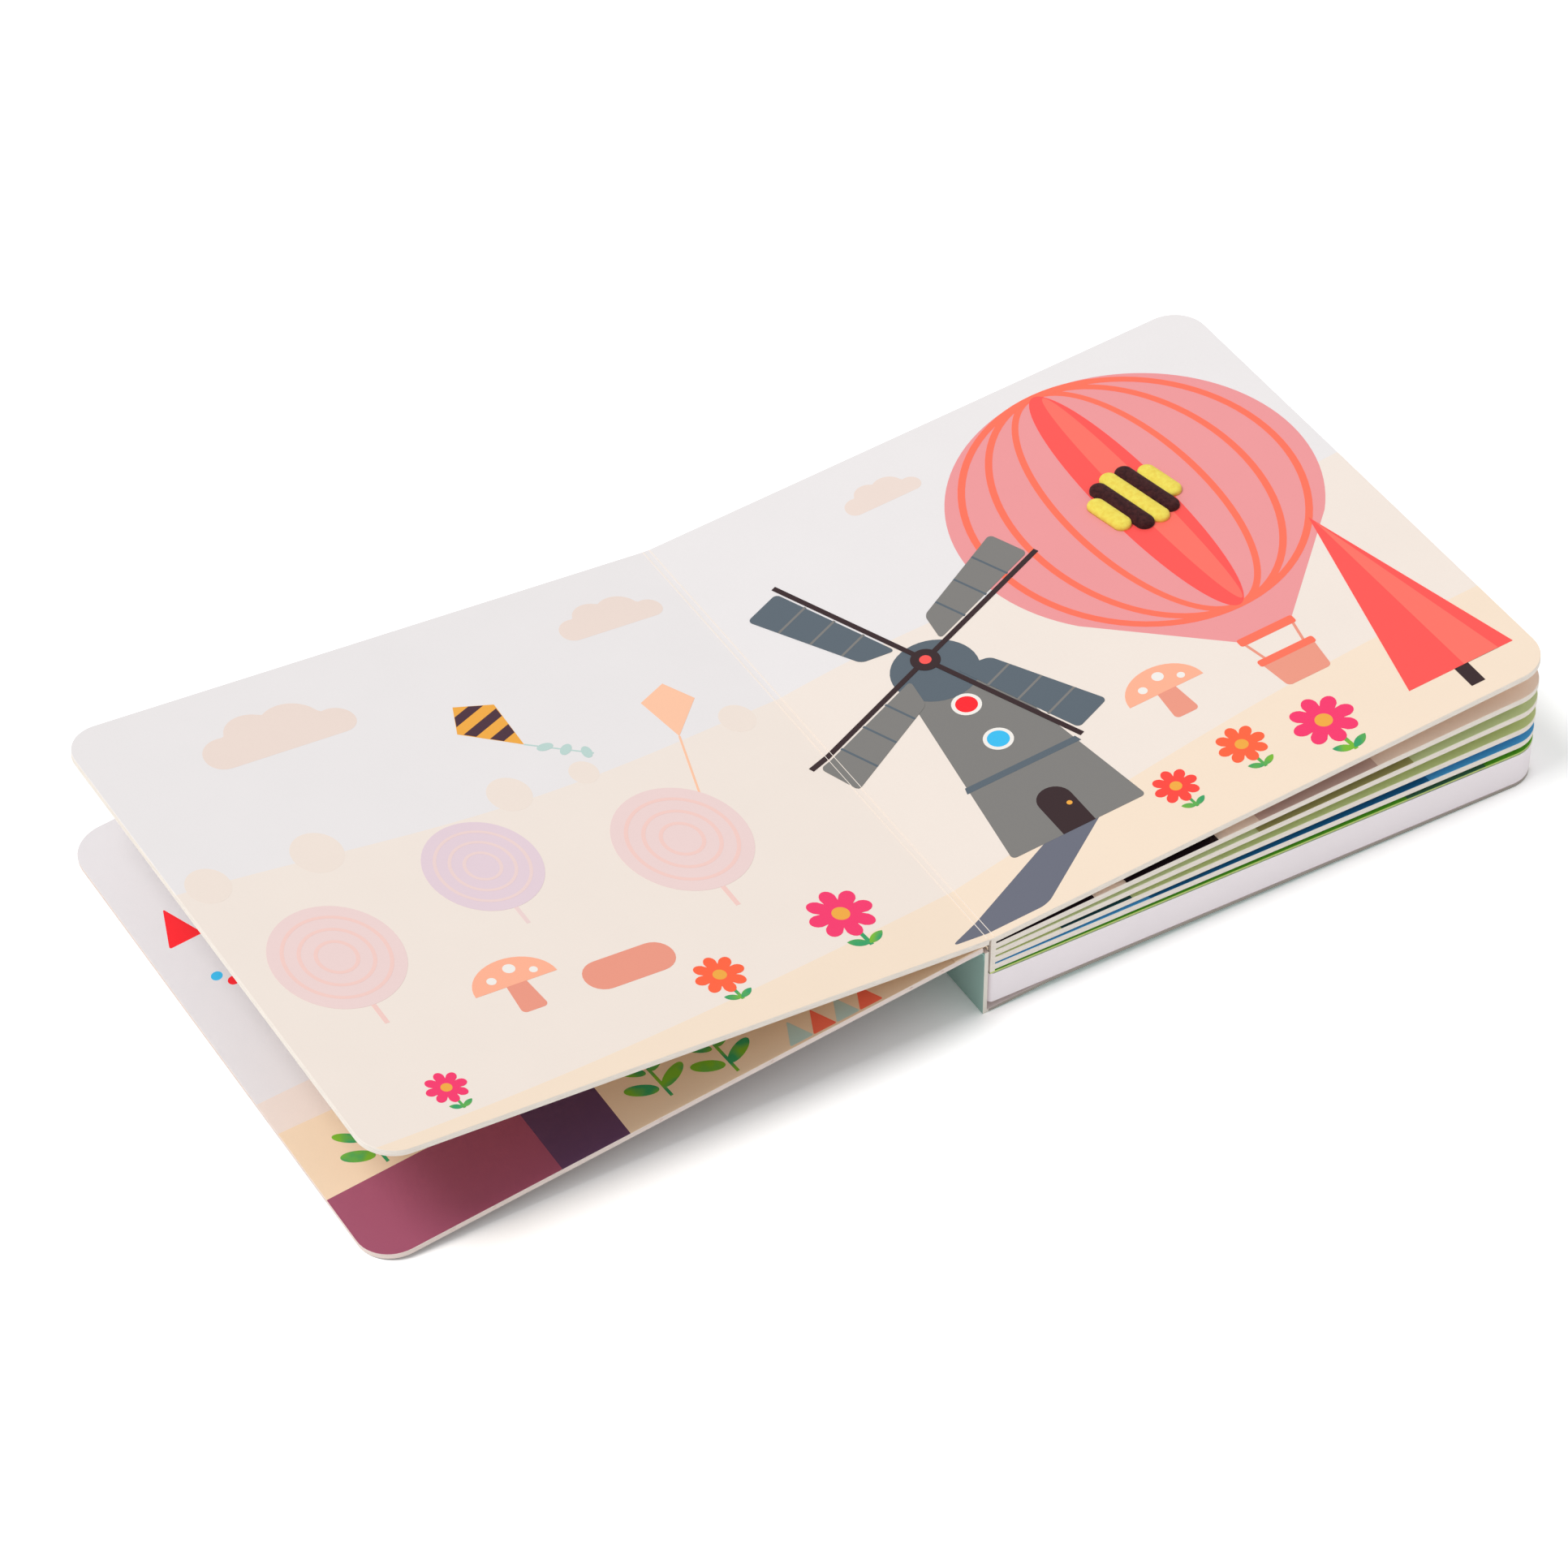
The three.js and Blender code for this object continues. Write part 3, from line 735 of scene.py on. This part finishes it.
def drawBalloon(bm):
    x, y, radius, half = (balloon[key] for key in ("x", "y", "radius", "neckHalf"))
    low, tall = y - balloon["neck"], radius * balloon["inside"]
    outline = arc(x, y, radius, radius, -40, 220, 78) + [(x - half, low), (x + half, low)]
    drawShape(bm, outline, "pink", 1)
    for i, share in enumerate(balloon["ribs"]):
        drawRing(bm, x, y, (radius * share, tall), balloon["rib"], "orange", 2 + 0.4 * i, 88)
    drawDisc(bm, x, y, tall, "coral", 3.4, (balloon["stripe"], 1), segments=72)
    drawDisc(bm, x + 2, y, radius * 0.95, "coralLight", 4, (balloon["light"], 1), segments=72)
    drawPanel(bm, x, (low - 1.5, low + 1.5), balloon["band"], "orange", 4, 0.8)
    for side in (-1, 1):
        drawLine(bm, (x + side * 8, low), (x + side * 6, low - 10), 0.8, "clay", 3)
    basketFoot, basketTop = (low + up for up in balloon["basket"])
    drawPanel(bm, x, (basketFoot, basketTop), balloon["basketHalf"], "clay", 4, 1.4)
    drawPanel(bm, x, (basketTop - 2, basketTop + 0.6), balloon["band"], "orange", 5, 0.8)


coneTree = {"x": 158, "foot": 13, "height": 72, "half": 17, "trunk": 2.2}


def drawConeTree(bm):
    x, foot, height, half, trunk = coneTree.values()
    drawPanel(bm, x, (foot - 8, foot + 2), (trunk, trunk), "maroon", 4)
    drawShape(bm, [(x - half, foot), (x + half, foot), (x, foot + height)], "coral", 5)
    light = [(x + 1, foot), (x + half * 0.72, foot), (x + 0.4, foot + height * 0.97)]
    drawShape(bm, light, "coralLight", 6)


# What stands where on the spread: across from the fold, up from the front edge, then its size
spread = {
    "flowers": (
        (70, 19, 6.5, "poppy"), (93, 22, 7.2, "flame"), (116, 17, 9.5, "magenta"),
        (-30, 26, 9.5, "magenta"), (-70, 20, 7.2, "flame"), (-152, 15, 5.8, "magenta"),
    ),
    "roundTrees": (
        (-52, 70, 20, "rose", "blush"), (-104, 84, 17, "lilac", "rose"), (-154, 70, 19, "rose", "blush"),
    ),
    "bushes": ((-171, 109, 6), (-140, 108, 7), (-84, 106, 6), (-62, 105, 4), (-14, 106, 5)),
    "clouds": ((66, 158, 13), (-128, 148, 24), (-24, 154, 17)),
    "toadstools": ((88, 40, 19), (-118, 30, 19)),
    "stripedKite": (-76, 134, 13, 24),
    "plainKite": (-28, 118, 12, -18),
    "creases": (-1.05, 1.15),
}


def drawKites(bm):
    x, y = drawKite(bm, *spread["stripedKite"], "amber", "dark")
    drawLine(bm, (x, y), (x + 15, y - 11.4), 0.5, "teal", 2)
    for i in range(3):
        drawDisc(bm, x + 4.5 * (i + 1), y - 3.4 * (i + 1), 2.4, "teal", 3, (1, 0.6), 40 * i, 20)
    x, y = drawKite(bm, *spread["plainKite"], "apricot")
    drawLine(bm, (x, y), (x - 8, y - 26), 0.6, "apricot", 2)


def addSpreadInk():
    bm = bmesh.new()
    drawBalloon(bm)
    drawWindmill(bm)
    drawConeTree(bm)
    drawKites(bm)
    for draw, key in (
        (drawToadstool, "toadstools"), (drawCloud, "clouds"), (drawFlower, "flowers"),
        (drawRoundTree, "roundTrees"),
    ):
        for row in spread[key]:
            draw(bm, *row)
    for x, y, radius in spread["bushes"]:
        drawDisc(bm, x, y, radius, "haze", 1, (1, 1.15), segments=32)
    drawPanel(bm, -89, (28, 39), (13, 13), "clay", 2, 5.4)
    # Pale lines along the two creases at the fold: partly scuffed print, partly painted highlight
    for x in spread["creases"]:
        drawLine(bm, (x, 0.4), (x, book["depth"] - 0.4), 0.16, "crease", 10)

    start = book["leafStart"]
    for x in (-start, start):
        everything = bm.verts[:] + bm.edges[:] + bm.faces[:]
        bmesh.ops.bisect_plane(bm, geom=everything, plane_co=(x, 0, 0), plane_no=(1, 0, 0))
    rightTop = topPlace @ movedBy(0, 0, book["leaf"])
    for v in bm.verts:
        v.co = (rightTop if v.co.x > 0 else turnedPlace) @ v.co
    materials = [inkMaterial(ink) for ink in inkNames]
    piece = addPiece("spread_ink", bm, materials)
    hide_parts("page_block")
    print("spread printed")
    return materials


# Front cover: printed inside, plain outside, with the small nibs that the die left on its front edge
front = {
    "thickness": 1.8,
    "outside": shade(150, 130, 122),
    "edge": shade(244, 228, 220),
    "inset": 0.25,
    "nibs": (12.5, 22, 64, 97, 146, 158),   # from the hinge, along the front edge
    "nib": (0.7, 0.5),
}
coverPrint = {
    "sky": shade(231, 227, 229),
    "fields": [
        {"colour": shade(238, 222, 213), "below": (63, 3, 40, 0)},
        {"colour": shade(243, 217, 187), "below": (52, 3, 44, 12)},
        {"colour": shade(92, 60, 96), "below": (24, 0, 1, 0), "across": (-134, -106)},
        {"colour": shade(161, 81, 108), "below": (27, 0, 1, 0), "across": (-181, -126)},
    ],
    "plants": ((-92, 10), (-74, 7), (-162, 34)),
    "pennant": ((-174, 128), (-164, 128), (-169, 142)),
    "dots": ("cyan", "red", "slate"),
    "flags": ("teal", "orange", "teal", "orange"),
}
mint = shade(174, 211, 201)


def drawPlant(bm, x, y):
    drawLine(bm, (x, y + 14), (x + 1, y - 5), 0.9, "green", 1)
    for side, ink in ((-1, "lime"), (1, "green")):
        drawDisc(bm, x + side * 4.6, y + 1, 4.6, ink, 2, (1, 0.42), 30 * side, 24)
        drawDisc(bm, x + side * 4, y + 8, 4.2, "green", 2, (1, 0.36), 42 * side, 24)


def addFrontCover(inkMaterials):
    art = colouredSheet("cover_inner_print", coverPlace, coverPrint["sky"], coverPrint["fields"])
    outside = colouredSheet("cover_outer_print", coverPlace, front["outside"], [])
    edge = boardEdgeMaterial("cover_edge", front["edge"], coverPlace)
    inset, thickness = front["inset"], front["thickness"]
    wide, tall = (size / 2 for size in front["nib"])
    bm = boardMesh(0, -book["width"], inset, 0, thickness)
    for x in front["nibs"]:
        low = (-x - wide, 0, thickness / 2 - tall)
        high = (-x + wide, inset * 2, thickness / 2 + tall)
        for face in facesOn(addBlock(bm, low, high)):
            face.material_index = 2
    bm.transform(coverPlace)
    piece = addPiece("front_cover_board", bm, [art, outside, edge], "front_cover")
    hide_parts("front_cover")

    bm = bmesh.new()
    drawShape(bm, coverPrint["pennant"], "red", 1, 0.8)
    for i, ink in enumerate(coverPrint["dots"]):
        drawDisc(bm, -168 + 3 * i, 112 - 4 * i, 1.6, ink, 1, segments=18)
    for x, y in coverPrint["plants"]:
        drawPlant(bm, x, y)
    for i, ink in enumerate(coverPrint["flags"]):
        x = -58 + 7 * i
        drawShape(bm, [(x, 1), (x + 7, 1), (x + 3.5, 9)], ink, 1, 0.6)
    bm.transform(coverPlace @ movedBy(0, 0, thickness))
    addPiece("front_cover_ink", bm, inkMaterials, "front_cover")
    print("front cover made")
    return art


# The paper that joins the cover to the spine: a lining inside and the crease outside. Each runs
# along the cover, given out from the hinge, and on to the spine, given across and up from it.
hingePaper = {
    "thickness": 0.2,
    "proud": 0.14,
    "short": 0.3,            # how far it stops short of the front and back edges
    "liningOnCover": (9, 4, 0.4),
    "liningOnSpine": ((0.7, 1.85), (1.15, 1.2), (1.2, 0.4)),
    "creaseOnCover": (3, 0.9),
    "creaseOnSpine": ((-0.1, -0.5), (0.14, -1.4), (0.14, -3)),
    "bend": (0.6, -0.8),     # two places across the paper, given out from the hinge
}


def addHinge(art):
    fall = radians(coverFall)
    proud, short = hingePaper["proud"], hingePaper["short"]

    def onCover(out, up):
        return (hinge.x - out * cos(fall) + up * sin(fall), hinge.z - out * sin(fall) + up * cos(fall))

    outside = colouredSheet("crease_print", Matrix.Identity(4), mint, [])
    for strip, up, material in (("lining", front["thickness"] + proud, art), ("crease", -proud, outside)):
        line = [onCover(out, up) for out in hingePaper[strip + "OnCover"]]
        line += [(hinge.x + across, hinge.z + rise) for across, rise in hingePaper[strip + "OnSpine"]]
        bm = bmesh.new()
        verts = [bm.verts.new((x, blockLow.y + short, z)) for x, z in line]
        edges = [bm.edges.new(pair) for pair in zip(verts, verts[1:])]
        far = vertsIn(bmesh.ops.extrude_edge_only(bm, edges=edges))
        bmesh.ops.translate(bm, verts=far, vec=(0, book["depth"] - 2 * short, 0))
        bmesh.ops.solidify(bm, geom=bm.faces[:], thickness=hingePaper["thickness"])
        piece = addPiece("cover_" + strip, bm, [material], body=None)
        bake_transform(piece)
    print("hinge made")


# The spine and back card keep their solid: mint outside, pale board inside, and cut ends
# that are pale on the spine and darker along the card, where the darker colour is painted shade under the
# block.
backCard = {
    "inside": shade(240, 226, 222),
    # painted shade: the card's cut edge, darkened where it lies in shade under the block
    "cut": shade(164, 156, 147),
    "spineCut": shade(236, 230, 219),
    "spineReach": 0.4,
}


def backCardMaterial():
    material, tree, shader = newMaterial("back_card")
    point = positionOn(tree, Matrix.Identity(4))
    across = addNode(tree, "SeparateXYZ", {"Vector": point}).outputs["X"]
    normal = addNode(tree, "SeparateXYZ", {"Vector": addNode(tree, "TexCoord").outputs["Normal"]})
    outward = calc(tree, "MINIMUM", normal.outputs["X"], normal.outputs["Z"])
    isOutside = calc(tree, "LESS_THAN", outward, -0.5)
    isCut = calc(tree, "GREATER_THAN", calc(tree, "ABSOLUTE", normal.outputs["Y"]), 0.6)
    isSpine = calc(tree, "LESS_THAN", across, backCard["spineReach"])
    colour = mixColours(tree, isOutside, backCard["inside"], mint)
    # pale cut on the spine, and painted shade on the card's cut along the block
    cut = mixColours(tree, isSpine, backCard["cut"], backCard["spineCut"])
    varnished(tree, shader, mixColours(tree, isCut, colour, cut), point)
    return material


# A copy of a CAD piece with merged faces and eased edges stands for it.
def easedCopy(node, name, ease, segments, material, body="book_block"):
    bm = bmesh.new()
    bm.from_mesh(frame["nodes"][node].data)
    bmesh.ops.scale(bm, vec=(1 / mm,) * 3, verts=bm.verts[:])
    bmesh.ops.remove_doubles(bm, verts=bm.verts[:], dist=1e-4)
    bmesh.ops.dissolve_limit(bm, angle_limit=radians(0.5), verts=bm.verts[:], edges=bm.edges[:])
    sharp = [e for e in bm.edges if len(e.link_faces) == 2 and e.calc_face_angle() > radians(40)]
    easeEdges(bm, sharp, ease, segments)
    piece = addPiece(name, bm, [material], body)
    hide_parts(node)


# Touch pad: soft round-ended rolls side by side, flocked in two colours in turn
pad = {
    "across": 122.9,
    "back": 119.2,
    "lift": 0.02,
    "radius": 12.2,
    "height": 1.86,
    "rolls": 5,
    "turn": 11,
    "overlap": 0.34,
    "fullness": 0.5,
    "reach": 1.06,
}
flocks = {
    "yellow": (shade(255, 238, 104), shade(248, 222, 88)),
    "brown": (shade(76, 36, 36), shade(50, 20, 24)),
}
flocking = {
    "fibreScale": 7,
    "fibreShadow": 0.14,
    "tuftScale": 0.7,
    "tuftContrast": (0.35, 0.65),
    "bump": 0.9,
    "bumpDepth": 0.14,
    "Roughness": 0.95,
    "Specular IOR Level": 0.1,
    "Sheen Weight": 0.08,
    "Sheen Roughness": 0.5,
}


def flockMaterial(name, light, dark):
    material, tree, shader = newMaterial("flock_" + name)
    point = positionOn(tree, Matrix.Identity(4))
    fibres = noiseOf(tree, point, flocking["fibreScale"], 4, 0.75)
    tufts = noiseOf(tree, point, flocking["tuftScale"], 3, 0.6)
    colour = mixColours(tree, shareOf(tree, tufts, *flocking["tuftContrast"]), light, dark)
    shadow = calc(tree, "MULTIPLY", fibres, flocking["fibreShadow"])
    tree.links.new(mixColours(tree, shadow, colour, black), shader.inputs["Base Color"])
    for key in ("Roughness", "Specular IOR Level", "Sheen Weight", "Sheen Roughness"):
        shader.inputs[key].default_value = flocking[key]
    addBump(tree, shader, fibres, flocking["bump"], flocking["bumpDepth"])
    return material


def addPad():
    place = topPlace @ movedBy(pad["across"], pad["back"], book["leaf"] + pad["lift"])
    radius, count = pad["radius"], pad["rolls"]
    pitch = 2 * radius / count
    half = pitch / 2 + pad["overlap"]
    bm = bmesh.new()
    for i in range(count):
        middle = (i - (count - 1) / 2) * pitch
        straight = pad["reach"] * sqrt(radius ** 2 - middle ** 2) - half
        made = bmesh.ops.create_uvsphere(bm, u_segments=48, v_segments=28, radius=1)["verts"]
        for v in made:
            end = straight if v.co.y > 1e-4 else -straight if v.co.y < -1e-4 else 0
            rise = max(v.co.z, 0) ** pad["fullness"]
            v.co = (middle + half * v.co.x, end + half * v.co.y, pad["height"] * rise)
        for face in facesOn(made):
            face.material_index = i % 2
    bm.transform(place @ Matrix.Rotation(radians(pad["turn"]), 4, "Z"))
    materials = [flockMaterial(name, *pair) for name, pair in flocks.items()]
    piece = addPiece("touch_pad_rolls", bm, materials, smooth=True)
    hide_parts("tactile_pad")
    print("pad made")


# Finishes for the pieces that keep their solids, and eased copies of four others
def finishNodes():
    plastic = stuff("case_plastic", shade(236, 236, 233), 0.42)
    steel = stuff("bright_steel", shade(196, 198, 202), 0.26, metallic=1.0, mottle=0.03)
    brass = stuff("contact_brass", shade(216, 196, 138), 0.3, metallic=1.0, mottle=0.04)
    rubber = stuff("button_rubber", shade(214, 214, 211), 0.75)
    resin = stuff("black_resin", shade(26, 26, 29), 0.4, mottle=0.1)
    paper = stuff("speaker_paper", shade(34, 34, 37), 0.8, grain=3)
    solder = stuff("circuit_green", shade(38, 108, 66), 0.34, clearcoat=0.4)
    knob = stuff("switch_knob", shade(40, 41, 45), 0.5)
    foam = stuff("white_foam", shade(252, 244, 248), 0.62, mottle=0.03, grain=2.5, bump=0.05)
    finishes = {
        "back_cover": backCardMaterial(),
        "module_case": plastic,
        "module_lid": plastic,
        "circuit_board": solder,
        "sound_chip": resin,
        "switch_body": resin,
        "speaker_frame": steel,
        "speaker_magnet": steel,
        "speaker_cone": paper,
        "contact_strip_lower": brass,
        "contact_tab_lower": brass,
        "contact_strip_upper": brass,
        "contact_tab_upper": brass,
        "speaker_wire_red": stuff("wire_red", shade(190, 36, 30), 0.45),
        "speaker_wire_black": stuff("wire_black", shade(30, 30, 33), 0.45),
    }
    finishes.update({f"press_button_{i + 1}": rubber for i in range(5)})
    finishes.update({f"button_cell_{i + 1}": steel for i in range(3)})
    for node, material in finishes.items():
        data = frame["nodes"][node].data
        data.materials.clear()
        data.materials.append(material)
    easedCopy("foam_block", "sound_block", 0.45, 3, foam)
    easedCopy("battery_door", "battery_hatch", 0.15, 2, plastic)
    easedCopy("battery_screw", "hatch_screw", 0.12, 2, steel)
    easedCopy("power_switch", "switch_slider", 0.2, 2, knob, "power_switch")
    print("solids finished")


# Stage: white floor, even white sky and one broad soft light from above on the left
stage = {
    "floorHalf": 8,
    "floor": 0.93,           # what the book sees of the floor
    "floorSeen": 1.3,        # what the camera sees, so that the open floor is white
    "floorRoughness": 0.9,
    "sky": 0.62,
    "lampStrength": 1.53,
    "lampSpread": 28,
    "lampFrom": (-0.66, 0.2, 1.25),
}


# 1 for what the camera sees itself or through gloss or glass, otherwise 0
def seenDirectly(tree):
    path = addNode(tree, "LightPath")
    rays = calc(tree, "MAXIMUM", path.outputs["Is Camera Ray"], path.outputs["Is Glossy Ray"])
    return calc(tree, "MAXIMUM", rays, path.outputs["Is Transmission Ray"])


def addStage():
    material, tree, shader = newMaterial("floor_white")
    low, high = ((stage[key],) * 3 + (1,) for key in ("floor", "floorSeen"))
    tree.links.new(mixColours(tree, seenDirectly(tree), low, high), shader.inputs["Base Color"])
    shader.inputs["Roughness"].default_value = stage["floorRoughness"]
    shader.inputs["Specular IOR Level"].default_value = 0
    mesh = bpy.data.meshes.new("floor")
    bm = bmesh.new()
    bmesh.ops.create_grid(bm, x_segments=1, y_segments=1, size=stage["floorHalf"])
    bm.to_mesh(mesh)
    bm.free()
    mesh.materials.append(material)
    floor = bpy.data.objects.new("floor", mesh)
    bpy.context.scene.collection.objects.link(floor)

    world = bpy.data.worlds.new("white_room")
    world.use_nodes = True
    bpy.context.scene.world = world
    tree = world.node_tree
    strength = addNode(
        tree, "MapRange", {"Value": seenDirectly(tree), "To Min": stage["sky"], "To Max": 1.0},
    )
    background = tree.nodes["Background"]
    background.inputs["Color"].default_value = (1, 1, 1, 1)
    tree.links.new(strength.outputs[0], background.inputs["Strength"])

    lamp = bpy.data.lights.new("soft_lamp", "SUN")
    lamp.energy = stage["lampStrength"]
    lamp.angle = radians(stage["lampSpread"])
    holder = bpy.data.objects.new("soft_lamp", lamp)
    holder.location = stage["lampFrom"]
    holder.rotation_euler = (-Vector(stage["lampFrom"])).to_track_quat("-Z", "Y").to_euler()
    bpy.context.scene.collection.objects.link(holder)
    bpy.context.scene.view_settings.view_transform = "Standard"
    print("stage set")


# The photo's viewpoint, from a fit to the edges of the pages
view = {
    "azimuth": -30.962,
    "elevation": 42.708,
    "roll": 0.182,
    "distance": 1566.6,
    "target": (-0.55, 12.81, 0),
    "lens": 131.7,
    "sensor": 36,
    "clip": (0.05, 50),
}


def addCamera():
    camera = bpy.data.cameras.new("camera")
    camera.lens = view["lens"]
    camera.sensor_width = view["sensor"]
    camera.clip_start, camera.clip_end = view["clip"]
    holder = bpy.data.objects.new("camera", camera)
    a, e = radians(view["azimuth"]), radians(view["elevation"])
    back = Vector((sin(a) * cos(e), -cos(a) * cos(e), sin(e)))
    right = Vector((0, 0, 1)).cross(back).normalized()
    up = back.cross(right)
    turn = Matrix((right, up, back)).transposed() @ Matrix.Rotation(radians(view["roll"]), 3, "Z")
    holder.location = (Vector(view["target"]) + back * view["distance"]) * mm
    holder.rotation_euler = turn.to_euler()
    bpy.context.scene.collection.objects.link(holder)
    bpy.context.scene.camera = holder


addCamera()
spreadRight, leafEdge = addPages()
addFold(spreadRight, leafEdge)
inkMaterials = addSpreadInk()
coverArt = addFrontCover(inkMaterials)
addHinge(coverArt)
addPad()
finishNodes()
addStage()

print("scene made")
